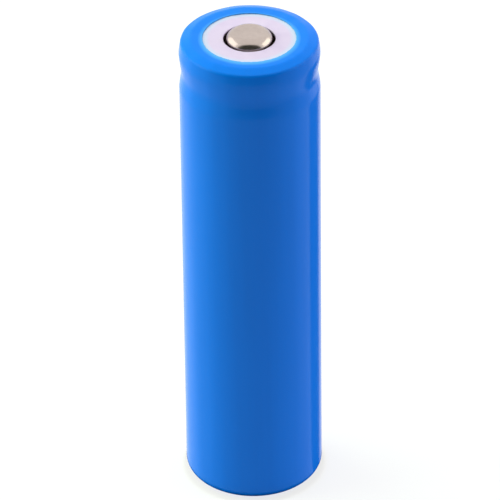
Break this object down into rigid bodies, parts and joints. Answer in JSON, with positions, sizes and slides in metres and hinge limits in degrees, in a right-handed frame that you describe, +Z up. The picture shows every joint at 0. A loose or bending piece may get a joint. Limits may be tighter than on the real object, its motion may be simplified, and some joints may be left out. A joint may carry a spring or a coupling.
{
  "type": "cylindrical battery cell",
  "caption": "Rechargeable cylindrical lithium-ion cell with a raised positive button, a white washer and a blue heat-shrink sleeve over a beaded steel can, with its wound electrodes inside.",
  "frame": {"origin": "centre of the base, on the plane that the sleeve's bottom lip stands on", "axes": "+Z up the cell's axis, from the flat negative terminal to the positive button; the cell is round, so +X and +Y are only a choice: the positive tab leaves the winding on the +Y side"},
  "size_m": [0.0184, 0.0184, 0.0678],
  "materials": {
    "sleeve_film": "glossy heat-shrunk film",
    "washer_paper": "smooth insulating paper",
    "nickel_cap": "nickel-plated, satin",
    "nickel_can": "nickel-plated, drawn",
    "gasket_plastic": "milky moulded polypropylene",
    "ptc_metal": "nickel foil over carbon-filled polymer",
    "disc_aluminium": "stamped",
    "spacer_plastic": "moulded",
    "plate_aluminium": "stamped and perforated",
    "insulator_board": "die-cut sheet",
    "cathode_coating": "rolled black coating",
    "anode_coating": "rolled graphite coating on copper",
    "separator_film": "thin porous film",
    "tab_aluminium": "rolled strip",
    "tab_nickel": "rolled strip",
    "tab_tape": "amber polyimide film",
    "pin_steel": "rolled tube",
    "roll_tape_film": "green polyester film"
  },
  "bodies": {
    "cell": {"heat_shrink_sleeve": "sleeve_film", "top_washer": "washer_paper", "positive_cap": "nickel_cap", "can": "nickel_can", "crimp_gasket": "gasket_plastic", "ptc_ring": "ptc_metal", "vent_spacer_ring": "spacer_plastic", "cid_plate": "plate_aluminium", "top_insulator": "insulator_board", "bottom_insulator": "insulator_board", "cathode_strip": "cathode_coating", "anode_strip": "anode_coating", "separator_inner": "separator_film", "separator_outer": "separator_film", "positive_tab": "tab_aluminium", "negative_tab": "tab_nickel", "positive_tab_tape": "tab_tape", "negative_tab_tape": "tab_tape", "centre_pin": "pin_steel", "roll_tape": "roll_tape_film"},
    "vent_disc_body": {"vent_disc": "disc_aluminium"}
  },
  "joints": [
    {"name": "vent_disc_snap", "type": "slide", "parent": "cell", "child": "vent_disc_body", "axis": [0, 0, 1], "range_m": [0, 0.00044], "deforming": ["vent_disc"]}
  ]
}
